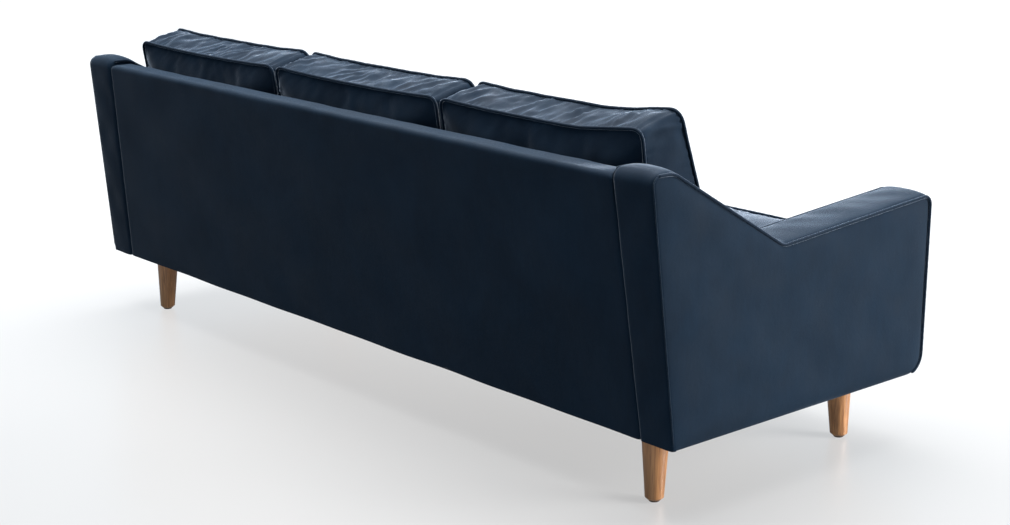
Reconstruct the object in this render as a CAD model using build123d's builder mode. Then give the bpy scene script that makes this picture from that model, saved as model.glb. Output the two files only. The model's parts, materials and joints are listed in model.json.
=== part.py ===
from build123d import *

import os
from math import atan2, cos, sin, tan

# A three-seat sofa on four tapered wooden legs. It is built from the inside out: base frame, arm
# frames, back frame, springs and webbing, leg fixings, padding and covers, then the loose cushions.
#
# Millimetres, +Z up. X runs along the sofa and -Y is its front. The origin is on the floor, under the
# centre of the whole sofa's box. The right-hand end is +X, as seen by someone facing the front.

# Overall sizes
TOTAL_WIDTH = 2140
SEAT_WIDTH = 1880            # clear width between the arms
BASE_HEIGHT = 158            # underside of the upholstered body
BACK_HEIGHT = 688            # top of the back rail between the arms
BASE_FRONT = -404.5          # Y of the front lower edge
BASE_REAR = 368.5            # Y of the rear lower edge
BACK_RAKE = 0.103            # how far the outside back moves back for each unit of height
INSIDE_REAR = 293.5          # Y of the inside back at seat height
INSIDE_RAKE = 0.251
SEAT_HEIGHT = 437            # top of the seat cushions
DECK_HEIGHT = 296.5          # top of the sprung deck under them

# Arm, seen from the side
ARM_FRONT_HEIGHT = 549
ARM_FRONT_LEAN = 19.7        # the front edge leans forward by this much at the top
ARM_VALLEY = (54, 513)       # Y and Z where the slope meets the armrest
ARM_CREST = (366, 699)       # Y and Z where the slope meets the back
ARM_LEAN = 17                # the outside face leans in by this much at the top of the back
PAD = 10                     # padding on the arm's edges
COVER = 5                    # padded cover on the large outside faces
PIPING_RADIUS = 3.5

# Frame stock
BOARD = 25                   # thickness of the rails
FRAME_BOTTOM = BASE_HEIGHT + 2
RAIL_TOP = 276
PLY = 12
WEBBING = 2

# Legs
LEG_TOP_DIAMETER = 60
LEG_FOOT_DIAMETER = 38
GLIDE_HEIGHT = 4
FOOT_X = 940
FOOT_REAR_Y = 285.5
FOOT_FRONT_Y = -294.5
LEG_SPLAY = 0.03             # outward run for each unit of height, in X and in Y
PLATE_THICKNESS = 3
BOLT_RADIUS = 4

# Loose cushions
CUSHIONS = {"left": -1, "centre": 0, "right": 1}
CUSHION_GAP = 5.6
CUSHION_WIDTH = (SEAT_WIDTH - CUSHION_GAP) / 3 - CUSHION_GAP
CUSHION_PITCH = CUSHION_WIDTH + CUSHION_GAP
CUSHION_COVER = 3
SEAT_CUSHION_FRONT = -408
SEAT_CUSHION_REAR = 257
BACK_CUSHION_FULLEST_HEIGHT = 650
BACK_CUSHION_REAR_TOP = (334, 748)
BACK_CUSHION_FRONT_TOP = (226, 772)
BACK_CUSHION_FRONT_FOOT = (92, SEAT_HEIGHT + 1.5)

HALF_WIDTH = TOTAL_WIDTH / 2
HALF_SEAT = SEAT_WIDTH / 2
BACK_SPAN = BACK_HEIGHT - BASE_HEIGHT
ARM_LEAN_ANGLE = atan2(ARM_LEAN, BACK_SPAN)

os.makedirs("parts", exist_ok=True)


def rear_y(z):
    """Y of the outside back at height z."""
    return BASE_REAR + BACK_RAKE * (z - BASE_HEIGHT)


def inside_y(z):
    """Y of the inside back at height z."""
    return INSIDE_REAR + INSIDE_RAKE * (z - SEAT_HEIGHT)


def save(piece, label):
    """Name one piece and write it."""
    piece.part.label = label
    export_step(piece.part, f"parts/{label}.step")


def save_pair(piece, label):
    """Write a right-hand piece and its mirror image on the left."""
    with BuildPart() as left_piece:
        mirror(piece.part, about=Plane.YZ)
    save(piece, f"{label}_right")
    save(left_piece, f"{label}_left")


def board(low, high):
    """A square-edged board between two opposite corners."""
    centre = tuple((a + b) / 2 for a, b in zip(low, high))
    with BuildPart() as piece:
        with Locations(centre):
            Box(*[b - a for a, b in zip(low, high)])
    return piece


def side_shape(points, start, width):
    """A prism along X, from its outline of Y, Z points."""
    with BuildPart() as piece:
        with BuildSketch(Plane.YZ.offset(start)):
            Polygon(*points, align=None)
        extrude(amount=width)
    return piece


# %% Base frame: four rails, two cross rails and a block over each leg
FRAME_HALF = HALF_WIDTH - BOARD
FRONT_RAIL_HALF = HALF_SEAT - 0.5
BLOCK_FRONT = BASE_FRONT + 50   # behind the rounded lower corner of the arms
FRONT_RAIL_FACE = BASE_FRONT + 16.5
REAR_RAIL_FACE = rear_y(FRAME_BOTTOM) - PAD - 1
FRONT_RAIL_BACK = FRONT_RAIL_FACE + BOARD
REAR_RAIL_FRONT = REAR_RAIL_FACE - BOARD
CROSS_RAIL_X = HALF_SEAT / 3
CROSS_RAIL_DEPTH = 70
BLOCK_THICKNESS = 42
SIDE_RAIL_X = 986

save(
    board((-FRONT_RAIL_HALF, FRONT_RAIL_FACE, FRAME_BOTTOM), (FRONT_RAIL_HALF, FRONT_RAIL_BACK, RAIL_TOP)),
    "base_front_rail",
)
save(
    board((-FRAME_HALF, REAR_RAIL_FRONT, FRAME_BOTTOM), (FRAME_HALF, REAR_RAIL_FACE, RAIL_TOP)),
    "base_back_rail",
)
save_pair(
    board((SIDE_RAIL_X, FRONT_RAIL_BACK, FRAME_BOTTOM), (FRAME_HALF, REAR_RAIL_FRONT, RAIL_TOP)),
    "base_side_rail",
)
save_pair(
    board(
        (CROSS_RAIL_X - BOARD / 2, FRONT_RAIL_BACK, FRAME_BOTTOM),
        (CROSS_RAIL_X + BOARD / 2, REAR_RAIL_FRONT, FRAME_BOTTOM + CROSS_RAIL_DEPTH),
    ),
    "base_cross_rail",
)

# %% Legs and their fixings. Each leg is a tapered turning that leans outward in X and in Y, held to a
# steel plate by a hanger bolt. The plate is let into the underside of its block.
LEG_LENGTH = FRAME_BOTTOM - GLIDE_HEIGHT
LEG_SHIFT = LEG_SPLAY * FRAME_BOTTOM
PLATE_SIZE = 64
PLATE_HOLE_PITCH = 48
PLATE_SCREW_RADIUS = 2
SCREW_HEAD_RADIUS = 3.6
SCREW_HEAD_DEPTH = SCREW_HEAD_RADIUS - PLATE_SCREW_RADIUS
SCREW_LENGTH = 20
BOLT_IN_LEG = 38
BOLT_IN_BLOCK = 30
GLIDE_RADIUS = 11
GLIDE_NAIL_RADIUS = 1.2
GLIDE_NAIL_LENGTH = 15
LEG_FEET = {
    "rear_right": (1, FOOT_REAR_Y, 1),
    "rear_left": (-1, FOOT_REAR_Y, 1),
    "front_right": (1, FOOT_FRONT_Y, -1),
    "front_left": (-1, FOOT_FRONT_Y, -1),
}
LEG_HEADS = [(side * (FOOT_X - LEG_SHIFT), y - out * LEG_SHIFT) for side, y, out in LEG_FEET.values()]
FEET = [(side * FOOT_X, y) for side, y, out in LEG_FEET.values()]


def leg(side, foot_y, outward):
    """One splayed leg: a round taper between two level ends, bored for its bolt and glide nail."""
    head = (side * (FOOT_X - LEG_SHIFT), foot_y - outward * LEG_SHIFT)
    foot = (side * FOOT_X, foot_y)
    with BuildPart() as piece:
        with BuildSketch(Plane.XY.offset(GLIDE_HEIGHT)):
            with Locations(foot):
                Circle(LEG_FOOT_DIAMETER / 2)
        with BuildSketch(Plane.XY.offset(FRAME_BOTTOM)):
            with Locations(head):
                Circle(LEG_TOP_DIAMETER / 2)
        loft()
        chamfer(piece.edges().group_by(Axis.Z)[0], length=5)
        with BuildSketch(Plane.XY.offset(FRAME_BOTTOM)):
            with Locations(head):
                Circle(BOLT_RADIUS)
        extrude(amount=-BOLT_IN_LEG, mode=Mode.SUBTRACT)
        with BuildSketch(Plane.XY.offset(GLIDE_HEIGHT)):
            with Locations(foot):
                Circle(GLIDE_NAIL_RADIUS)
        extrude(amount=GLIDE_NAIL_LENGTH, mode=Mode.SUBTRACT)
    return piece


for name, place in LEG_FEET.items():
    save(leg(*place), f"leg_{name}")

with BuildPart() as leg_glides:
    with BuildSketch():
        with Locations(*FEET):
            Circle(GLIDE_RADIUS)
    extrude(amount=GLIDE_HEIGHT)
    chamfer(leg_glides.edges().group_by(Axis.Z)[0], length=0.6)
    with BuildSketch(Plane.XY.offset(GLIDE_HEIGHT)):
        with Locations(*FEET):
            Circle(GLIDE_NAIL_RADIUS)
    extrude(amount=GLIDE_NAIL_LENGTH)
save(leg_glides, "leg_glides")

with BuildPart() as leg_bolts:
    with BuildSketch(Plane.XY.offset(FRAME_BOTTOM - BOLT_IN_LEG)):
        with Locations(*LEG_HEADS):
            Circle(BOLT_RADIUS)
    extrude(amount=BOLT_IN_LEG + BOLT_IN_BLOCK)
save(leg_bolts, "leg_bolts")

with BuildPart() as plate_screws:
    for head in LEG_HEADS:
        with Locations((*head, FRAME_BOTTOM)):
            with GridLocations(PLATE_HOLE_PITCH, PLATE_HOLE_PITCH, 2, 2):
                Cone(
                    SCREW_HEAD_RADIUS,
                    PLATE_SCREW_RADIUS,
                    SCREW_HEAD_DEPTH,
                    align=(Align.CENTER, Align.CENTER, Align.MIN),
                )
                Cylinder(
                    PLATE_SCREW_RADIUS,
                    SCREW_LENGTH,
                    align=(Align.CENTER, Align.CENTER, Align.MIN),
                )
save(plate_screws, "leg_plate_screws")

with BuildPart() as leg_plates:
    with BuildSketch(Plane.XY.offset(FRAME_BOTTOM)):
        with Locations(*LEG_HEADS):
            RectangleRounded(PLATE_SIZE, PLATE_SIZE, 6)
    extrude(amount=PLATE_THICKNESS)
    add(leg_bolts.part, mode=Mode.SUBTRACT)
    add(plate_screws.part, mode=Mode.SUBTRACT)
save(leg_plates, "leg_plates")

with BuildPart() as leg_blocks:
    for head_x, head_y in LEG_HEADS:
        near_rail = REAR_RAIL_FRONT if head_y > 0 else BLOCK_FRONT
        depth = abs(near_rail - head_y) + PLATE_SIZE / 2 + 10
        block_y = (near_rail - depth / 2) if head_y > 0 else (near_rail + depth / 2)
        inner_x = HALF_SEAT - 55
        block_x = (inner_x + SIDE_RAIL_X) / 2
        with Locations((block_x if head_x > 0 else -block_x, block_y, FRAME_BOTTOM)):
            Box(
                SIDE_RAIL_X - inner_x,
                depth,
                BLOCK_THICKNESS,
                align=(Align.CENTER, Align.CENTER, Align.MIN),
            )
        with BuildSketch(Plane.XY.offset(FRAME_BOTTOM)):
            with Locations((head_x, head_y)):
                RectangleRounded(PLATE_SIZE, PLATE_SIZE, 6)
        extrude(amount=PLATE_THICKNESS, mode=Mode.SUBTRACT)
    add(leg_bolts.part, mode=Mode.SUBTRACT)
    add(plate_screws.part, mode=Mode.SUBTRACT)
save(leg_blocks, "leg_blocks")

# %% Arm frames: an inner and an outer panel on two posts
OUTER_FACE = Plane(
    origin=(HALF_WIDTH + BASE_HEIGHT * tan(ARM_LEAN_ANGLE), 0, 0),
    x_dir=(0, 1, 0),
    z_dir=(cos(ARM_LEAN_ANGLE), 0, sin(ARM_LEAN_ANGLE)),
)
INNER_PAD = 18
POST_DEPTH = 58
POST_INNER = HALF_SEAT + INNER_PAD + PLY
POST_OUTER = HALF_WIDTH - ARM_LEAN - COVER - PLY
ARM_CORNERS = {
    "front_foot": ((BASE_FRONT, BASE_HEIGHT), 46),
    "front_top": ((BASE_FRONT - ARM_FRONT_LEAN, ARM_FRONT_HEIGHT), 22),
    "valley": (ARM_VALLEY, 40),
    "crest": (ARM_CREST, 60),
    "rear_top": ((rear_y(ARM_CREST[1]), ARM_CREST[1]), 20),
    "rear_foot": ((BASE_REAR, BASE_HEIGHT), 0),
}


def arm_outline(inset=0):
    """Side view of the arm as a flat sketch in Y and Z, set in from the finished surface."""
    with BuildSketch() as outline:
        with BuildLine():
            FilletPolyline(
                *[point for point, radius in ARM_CORNERS.values()],
                radius=[radius for point, radius in ARM_CORNERS.values()],
                close=True,
            )
        make_face()
        if inset:
            offset(amount=-inset, kind=Kind.INTERSECTION)
    return outline.sketch


def band(region):
    """The padded edge of the arm inside one region of the side view, as a flat sketch."""
    with BuildSketch() as strip:
        add(arm_outline())
        add(arm_outline(PAD), mode=Mode.SUBTRACT)
        Polygon(*region, align=None, mode=Mode.INTERSECT)
    return strip.sketch


with BuildPart() as arm_outer_panel:
    with BuildSketch(OUTER_FACE.offset(-COVER)):
        add(arm_outline(PAD + 1))
    extrude(amount=-PLY)
save_pair(arm_outer_panel, "arm_outer_panel")

with BuildPart() as arm_inner_panel:
    with BuildSketch(Plane.YZ.offset(HALF_SEAT + INNER_PAD)):
        add(arm_outline(PAD + 0.5))
        with Locations((0, RAIL_TOP)):
            Rectangle(3 * HALF_SEAT, ARM_CREST[1], align=(Align.CENTER, Align.MIN), mode=Mode.INTERSECT)
    extrude(amount=PLY)
save_pair(arm_inner_panel, "arm_inner_panel")

save_pair(
    board(
        (POST_INNER, BASE_FRONT + 8, BASE_HEIGHT + 50),
        (POST_OUTER, FRONT_RAIL_BACK, ARM_FRONT_HEIGHT - 30),
    ),
    "arm_front_post",
)
REAR_POST_TOP = ARM_CREST[1] - 30
save_pair(
    side_shape(
        [
            (rear_y(RAIL_TOP) - POST_DEPTH, RAIL_TOP),
            (rear_y(RAIL_TOP) - PAD - 2, RAIL_TOP),
            (rear_y(REAR_POST_TOP) - PAD - 2, REAR_POST_TOP),
            (rear_y(REAR_POST_TOP) - POST_DEPTH, REAR_POST_TOP),
        ],
        POST_INNER,
        POST_OUTER - POST_INNER,
    ),
    "arm_rear_post",
)

# %% Back frame: two rails and two wedge-shaped posts, which give the outside and the inside of the back
# their different rakes. The inside surfaces are set back behind the padding and the webbing.
HALF_BACK = HALF_SEAT - 0.5
BEHIND_PAD = INNER_PAD + WEBBING + 1
BACK_STOCK = COVER + 1
LOWER_RAIL = (DECK_HEIGHT + 4, DECK_HEIGHT + 49)
TOP_RAIL = (BACK_HEIGHT - 56, BACK_HEIGHT - PAD - 0.5)
LOWER_RAIL_BACK = inside_y(LOWER_RAIL[0]) + BEHIND_PAD + 30

save(
    side_shape(
        [
            (inside_y(TOP_RAIL[0]) + BEHIND_PAD, TOP_RAIL[0]),
            (rear_y(TOP_RAIL[0]) - BACK_STOCK, TOP_RAIL[0]),
            (rear_y(TOP_RAIL[1]) - BACK_STOCK, TOP_RAIL[1]),
            (inside_y(TOP_RAIL[1]) + BEHIND_PAD, TOP_RAIL[1]),
        ],
        -HALF_BACK,
        2 * HALF_BACK,
    ),
    "back_top_rail",
)
save(
    side_shape(
        [
            (inside_y(LOWER_RAIL[0]) + BEHIND_PAD, LOWER_RAIL[0]),
            (LOWER_RAIL_BACK, LOWER_RAIL[0]),
            (LOWER_RAIL_BACK, LOWER_RAIL[1]),
            (inside_y(LOWER_RAIL[1]) + BEHIND_PAD, LOWER_RAIL[1]),
        ],
        -HALF_BACK,
        2 * HALF_BACK,
    ),
    "back_lower_rail",
)
save_pair(
    side_shape(
        [
            (LOWER_RAIL_BACK, RAIL_TOP),
            (rear_y(RAIL_TOP) - BACK_STOCK, RAIL_TOP),
            (rear_y(TOP_RAIL[0]) - BACK_STOCK, TOP_RAIL[0]),
            (inside_y(TOP_RAIL[0]) + BEHIND_PAD, TOP_RAIL[0]),
            (LOWER_RAIL_BACK, LOWER_RAIL[1]),
        ],
        CROSS_RAIL_X - 20,
        40,
    ),
    "back_post",
)

# %% Suspension: sinuous springs from rail to rail in clips, and straps up the inside of the back
STRAP_COUNT = 12
STRAP_PITCH = 150
SPRING_COUNT = 8
SPRING_PITCH = 240
SPRING_WIRE = 1.8
SPRING_HALF = 23
SPRING_TURNS = 13
SPRING_TAIL = 12             # straight end of the wire, held in its clip
CLIP_SIZE = (10, 14, 6)
SPRING_Z = RAIL_TOP + CLIP_SIZE[2] / 2
SPRING_START = FRONT_RAIL_FACE + BOARD / 2
SPRING_END = REAR_RAIL_FACE - BOARD / 2
TURN_PITCH = (SPRING_END - SPRING_START) / (SPRING_TURNS + 1)

spring_points = [(SPRING_TAIL, SPRING_START)]
for turn in range(SPRING_TURNS + 1):
    reach = SPRING_HALF if turn % 2 else -SPRING_HALF
    spring_points.append((reach, SPRING_START + turn * TURN_PITCH))
    spring_points.append((reach, SPRING_START + (turn + 1) * TURN_PITCH))
spring_points.append((-SPRING_TAIL, SPRING_END))

with BuildPart() as one_spring:
    with BuildLine(Plane.XY.offset(SPRING_Z)) as wire_path:
        FilletPolyline(*spring_points, radius=TURN_PITCH * 0.4)
    for edge in wire_path.edges():
        with BuildSketch(Plane(origin=edge @ 0, z_dir=edge % 0)):
            Circle(SPRING_WIRE)
        if edge.geom_type == GeomType.LINE:
            extrude(amount=edge.length)
        else:
            turning = (edge % 0).cross(edge % 1)
            revolve(axis=Axis(edge.arc_center, turning), revolution_arc=(edge % 0).get_angle(edge % 1))

with BuildPart() as seat_springs:
    with GridLocations(SPRING_PITCH, 0, SPRING_COUNT, 1):
        add(one_spring.part)
save(seat_springs, "seat_springs")

with BuildPart() as spring_clips:
    for clip_x, end_y in ((SPRING_TAIL / 2, SPRING_START), (-SPRING_TAIL / 2, SPRING_END)):
        with Locations((clip_x, end_y, SPRING_Z)):
            with GridLocations(SPRING_PITCH, 0, SPRING_COUNT, 1):
                Box(*CLIP_SIZE)
                Cylinder(SPRING_WIRE + 0.3, CLIP_SIZE[0], rotation=(0, 90, 0), mode=Mode.SUBTRACT)
save(spring_clips, "spring_clips")

STRAP_WIDTH = 50
STRAP_FOOT = LOWER_RAIL[0]
STRAP_HEAD = TOP_RAIL[1]
STRAP_BACK = INNER_PAD + 0.5
with BuildPart() as back_webbing:
    for index in range(STRAP_COUNT):
        strap_x = (index - (STRAP_COUNT - 1) / 2) * STRAP_PITCH - STRAP_WIDTH / 2
        with BuildSketch(Plane.YZ.offset(strap_x)):
            Polygon(
                (inside_y(STRAP_FOOT) + STRAP_BACK, STRAP_FOOT),
                (inside_y(STRAP_FOOT) + STRAP_BACK + WEBBING, STRAP_FOOT),
                (inside_y(STRAP_HEAD) + STRAP_BACK + WEBBING, STRAP_HEAD),
                (inside_y(STRAP_HEAD) + STRAP_BACK, STRAP_HEAD),
                align=None,
            )
        extrude(amount=STRAP_WIDTH)
save(back_webbing, "back_webbing")

# %% Arm padding and covers. The outside cover lies on the leaning outer face. A padded band goes up the
# back corner, over the slope and down the front, and leaves room for piping along both of its edges.
PIPING_ROOM = 2 * PIPING_RADIUS + 0.5
BAND_FRONT = [(-460, 140), (-363.5, 140), (-363.5, 520), (-460, 520)]
BAND_TOP = [
    (-460, 520), (-392, 520), (-392, 450), (380, 450),
    (380, 680), (450, 680), (450, 760), (-460, 760),
]
BAND_REAR = [(357.5, 140), (380, 140), (450, 680), (402, 680)]
BACK_SEAM_FOOT = 92          # width of the arm's back strip at the bottom
BACK_SEAM_HEAD = 125.5       # and its distance from the full width at the top
SEAM_ANGLE = atan2(BACK_SEAM_HEAD - BACK_SEAM_FOOT, BACK_SPAN)
SEAM_PLANE = Plane(
    origin=(HALF_WIDTH - BACK_SEAM_FOOT, 0, BASE_HEIGHT),
    z_dir=(cos(SEAM_ANGLE), 0, sin(SEAM_ANGLE)),
)

with BuildPart() as arm_outer_cover:
    with BuildSketch(OUTER_FACE):
        add(arm_outline(PAD + 1))
    extrude(amount=-COVER)
save_pair(arm_outer_cover, "arm_outer_cover")

with BuildPart() as arm_inner_pad:
    with BuildSketch(Plane.YZ.offset(HALF_SEAT)):
        add(arm_outline(PAD + 0.5))
        with Locations((0, RAIL_TOP + 8)):
            Rectangle(3 * HALF_SEAT, ARM_CREST[1], align=(Align.CENTER, Align.MIN), mode=Mode.INTERSECT)
    extrude(amount=INNER_PAD)
save_pair(arm_inner_pad, "arm_inner_pad")

with BuildPart() as arm_top_pad:
    with BuildSketch(Plane.YZ.offset(HALF_SEAT + PIPING_ROOM)):
        add(band(BAND_TOP))
    extrude(amount=HALF_WIDTH - HALF_SEAT)
    split(bisect_by=OUTER_FACE.offset(-PIPING_ROOM), keep=Keep.BOTTOM)
save_pair(arm_top_pad, "arm_top_pad")

with BuildPart() as arm_front_pad:
    with BuildSketch(Plane.YZ.offset(HALF_SEAT + PIPING_ROOM)):
        add(band(BAND_FRONT))
    extrude(amount=HALF_WIDTH - HALF_SEAT)
    split(bisect_by=OUTER_FACE.offset(-PIPING_ROOM), keep=Keep.BOTTOM)
save_pair(arm_front_pad, "arm_front_pad")

with BuildPart() as arm_back_strip:
    with BuildSketch(Plane.YZ.offset(HALF_SEAT)):
        add(band(BAND_REAR))
    extrude(amount=HALF_WIDTH - HALF_SEAT + PAD)
    split(bisect_by=OUTER_FACE, keep=Keep.BOTTOM)
    split(bisect_by=SEAM_PLANE, keep=Keep.TOP)
save_pair(arm_back_strip, "arm_back_strip")


def piping_route(plane):
    """The front, top and slope of the arm's outline as one path on a side plane."""
    rim = arm_outline(PIPING_RADIUS).face().outer_wire().edges()
    front_edges = [edge for edge in rim if edge.center().X < rear_y(edge.center().Y) - 2 * PAD]
    kept = [edge for edge in front_edges if edge.center().Y > BASE_HEIGHT + PAD]
    return plane * Wire(kept)


with BuildPart() as arm_piping:
    for plane in (OUTER_FACE.offset(-PIPING_RADIUS), Plane.YZ.offset(HALF_SEAT + PIPING_RADIUS)):
        route = piping_route(plane)
        with BuildSketch(Plane(origin=route @ 0, z_dir=route % 0)):
            Circle(PIPING_RADIUS)
        sweep(path=route)
save_pair(arm_piping, "arm_piping")

# %% Back covers, deck, front border and dust cloth
with BuildPart() as back_outer_cover:
    with BuildSketch(Plane.XZ):
        Polygon(
            (-(HALF_WIDTH - BACK_SEAM_FOOT), BASE_HEIGHT),
            (HALF_WIDTH - BACK_SEAM_FOOT, BASE_HEIGHT),
            (HALF_WIDTH - BACK_SEAM_HEAD, BACK_HEIGHT),
            (-(HALF_WIDTH - BACK_SEAM_HEAD), BACK_HEIGHT),
            align=None,
        )
    extrude(amount=-BASE_REAR * 2)
    with BuildSketch(Plane.YZ.offset(-HALF_WIDTH)):
        Polygon(
            (rear_y(BASE_HEIGHT) - COVER, BASE_HEIGHT),
            (rear_y(BASE_HEIGHT), BASE_HEIGHT),
            (rear_y(BACK_HEIGHT), BACK_HEIGHT),
            (rear_y(BACK_HEIGHT) - COVER, BACK_HEIGHT),
            align=None,
        )
    extrude(amount=TOTAL_WIDTH, mode=Mode.INTERSECT)
save(back_outer_cover, "back_outer_cover")

save(
    side_shape(
        [
            (inside_y(BACK_HEIGHT - PAD), BACK_HEIGHT - PAD),
            (rear_y(BACK_HEIGHT - PAD) - COVER, BACK_HEIGHT - PAD),
            (rear_y(BACK_HEIGHT) - COVER, BACK_HEIGHT),
            (inside_y(BACK_HEIGHT) + 4, BACK_HEIGHT),
            (inside_y(BACK_HEIGHT - 4), BACK_HEIGHT - 4),
        ],
        -HALF_BACK,
        2 * HALF_BACK,
    ),
    "back_top_pad",
)
save(
    side_shape(
        [
            (inside_y(DECK_HEIGHT), DECK_HEIGHT),
            (inside_y(DECK_HEIGHT) + INNER_PAD, DECK_HEIGHT),
            (inside_y(TOP_RAIL[1]) + INNER_PAD, TOP_RAIL[1]),
            (inside_y(TOP_RAIL[1]), TOP_RAIL[1]),
        ],
        -HALF_BACK,
        2 * HALF_BACK,
    ),
    "back_inner_pad",
)

DECK_THICKNESS = 12
BORDER_FACE = FRONT_RAIL_FACE - PAD
save(
    board(
        (-HALF_BACK, FRONT_RAIL_FACE, DECK_HEIGHT - DECK_THICKNESS),
        (HALF_BACK, inside_y(DECK_HEIGHT) + INNER_PAD, DECK_HEIGHT),
    ),
    "seat_deck_pad",
)
save(
    board((-HALF_BACK, BORDER_FACE, BASE_HEIGHT), (HALF_BACK, FRONT_RAIL_FACE - 0.1, DECK_HEIGHT)),
    "front_border_pad",
)

with BuildPart() as dust_cover:
    with BuildSketch(Plane.XY.offset(BASE_HEIGHT)):
        with Locations((0, (BLOCK_FRONT + REAR_RAIL_FACE) / 2)):
            Rectangle(2 * FRAME_HALF, REAR_RAIL_FACE - BLOCK_FRONT)
        with Locations(*LEG_HEADS):
            Circle(LEG_TOP_DIAMETER / 2 + 1, mode=Mode.SUBTRACT)
    extrude(amount=FRAME_BOTTOM - BASE_HEIGHT)
save(dust_cover, "dust_cover")


# %% Loose cushions: each is a foam core in a closed, sewn cover
def cushion(centre_x, outline, inset, radius):
    """A softly rounded block of the cushion's width, from its Y, Z outline."""
    with BuildPart() as block:
        with BuildSketch(Plane.YZ.offset(centre_x - CUSHION_WIDTH / 2 + inset)):
            Polygon(*outline, align=None)
            if inset:
                offset(amount=-inset, kind=Kind.INTERSECTION)
        extrude(amount=CUSHION_WIDTH - 2 * inset)
        fillet(block.edges(), radius=radius)
    return block


def save_cushion(kind, place, outline, radius):
    """Write one cushion's foam core and the cover that closes round it."""
    centre_x = CUSHIONS[place] * CUSHION_PITCH
    core = cushion(centre_x, outline, CUSHION_COVER, radius - CUSHION_COVER)
    with BuildPart() as cover:
        add(cushion(centre_x, outline, 0, radius).part)
        add(core.part, mode=Mode.SUBTRACT)
    save(core, f"{kind}_cushion_core_{place}")
    save(cover, f"{kind}_cushion_cover_{place}")


SEAT_OUTLINE = [
    (SEAT_CUSHION_FRONT, DECK_HEIGHT + 0.5),
    (SEAT_CUSHION_REAR, DECK_HEIGHT + 0.5),
    (SEAT_CUSHION_REAR, SEAT_HEIGHT),
    (SEAT_CUSHION_FRONT, SEAT_HEIGHT),
]
BACK_FOOT_HEIGHT = BACK_CUSHION_FRONT_FOOT[1]
BACK_OUTLINE = [
    BACK_CUSHION_FRONT_FOOT,
    (inside_y(BACK_FOOT_HEIGHT) - 2, BACK_FOOT_HEIGHT),
    (inside_y(BACK_CUSHION_FULLEST_HEIGHT) - 2, BACK_CUSHION_FULLEST_HEIGHT),
    BACK_CUSHION_REAR_TOP,
    BACK_CUSHION_FRONT_TOP,
]
for place in CUSHIONS:
    save_cushion("seat", place, SEAT_OUTLINE, 25)
    save_cushion("back", place, BACK_OUTLINE, 20)
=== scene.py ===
# %% [markdown]
# # A velvet sofa on tapered wooden legs
# The sofa's frame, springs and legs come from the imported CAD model, which gives the main sizes and
# places below. This lesson puts the soft outside round them: stretched velvet covers, piping, and six
# loose cushions that are partly shaped by a cloth simulation and then creased by formula. The frame is
# loaded first, because everything else measures itself against it.

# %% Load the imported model
import json

import bmesh
import bpy
import numpy as np
from mathutils import Matrix, Vector


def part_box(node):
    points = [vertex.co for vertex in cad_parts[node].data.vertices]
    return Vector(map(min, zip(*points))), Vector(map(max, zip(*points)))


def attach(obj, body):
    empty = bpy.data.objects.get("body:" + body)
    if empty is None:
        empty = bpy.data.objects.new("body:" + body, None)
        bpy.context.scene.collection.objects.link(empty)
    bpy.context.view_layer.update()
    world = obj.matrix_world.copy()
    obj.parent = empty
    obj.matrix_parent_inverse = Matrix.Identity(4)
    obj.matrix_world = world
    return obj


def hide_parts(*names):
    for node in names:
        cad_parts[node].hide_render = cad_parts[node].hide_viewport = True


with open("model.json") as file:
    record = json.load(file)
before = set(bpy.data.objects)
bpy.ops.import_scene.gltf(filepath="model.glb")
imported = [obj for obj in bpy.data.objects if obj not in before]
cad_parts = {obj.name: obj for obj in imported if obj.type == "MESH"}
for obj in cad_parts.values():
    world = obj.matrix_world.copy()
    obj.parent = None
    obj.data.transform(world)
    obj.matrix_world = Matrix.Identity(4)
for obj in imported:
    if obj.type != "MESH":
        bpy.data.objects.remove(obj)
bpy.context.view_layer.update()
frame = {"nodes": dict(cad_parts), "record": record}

SOFA = "sofa_body"

# %% [markdown]
# ## Camera
# The sofa is seen from behind its left-hand end, a little above its arms, with a short telephoto lens,
# so that its long edges converge only gently. A camera looks along its own -Z with +Y up, so its matrix
# is built from the direction that it looks in. It is made first.

# %% Camera behind the left-hand end
CAMERA_PLACE = (-3.3106, 2.7404, 1.3624)
CAMERA_TURN = 0.8558   # radians from straight at the front, towards +X
CAMERA_DIP = 0.2503    # radians below level
CAMERA_LENS = 64.46

looking = Vector(
    (
        np.sin(CAMERA_TURN) * np.cos(CAMERA_DIP),
        -np.cos(CAMERA_TURN) * np.cos(CAMERA_DIP),
        -np.sin(CAMERA_DIP),
    )
)
camera = bpy.data.objects.new("camera", bpy.data.cameras.new("camera"))
camera.data.lens = CAMERA_LENS
camera.matrix_world = (
    Matrix.Translation(CAMERA_PLACE) @ looking.to_track_quat("-Z", "Y").to_matrix().to_4x4()
)
bpy.context.scene.collection.objects.link(camera)
bpy.context.scene.camera = camera

# %% [markdown]
# ## Room and light
# A catalogue would stand this sofa on a pale sweep of paper under a large overhead softbox, with a
# second one in front of the left arm and only a weak, low one behind it for the legs, which is why the
# back is almost black while the arm and every upward face catch light. The room is not physical: it is
# white where the camera sees it, and dimmer and bluish where it lights the sofa.

# %% Pale floor, softboxes and a white room
def softbox(name, place, aim, size, power):
    """A square area light at one place, turned to face another."""
    data = bpy.data.lights.new(name, "AREA")
    data.size = size
    data.energy = power
    data.color = (1, 0.985, 0.965)
    lamp = bpy.data.objects.new(name, data)
    direction = Vector(aim) - Vector(place)
    lamp.matrix_world = (
        Matrix.Translation(place) @ direction.to_track_quat("-Z", "Y").to_matrix().to_4x4()
    )
    bpy.context.scene.collection.objects.link(lamp)


softbox("overhead_box", (0.4, -0.5, 4.2), (0, -0.1, 0), 4.5, 850)
softbox("arm_box", (-4.8, -3.0, 1.6), (-0.8, -0.1, 0.4), 2.4, 720)
softbox("leg_fill", (-2.6, 4.6, 0.7), (-0.9, 0.3, 0.1), 1.2, 34)

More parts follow.
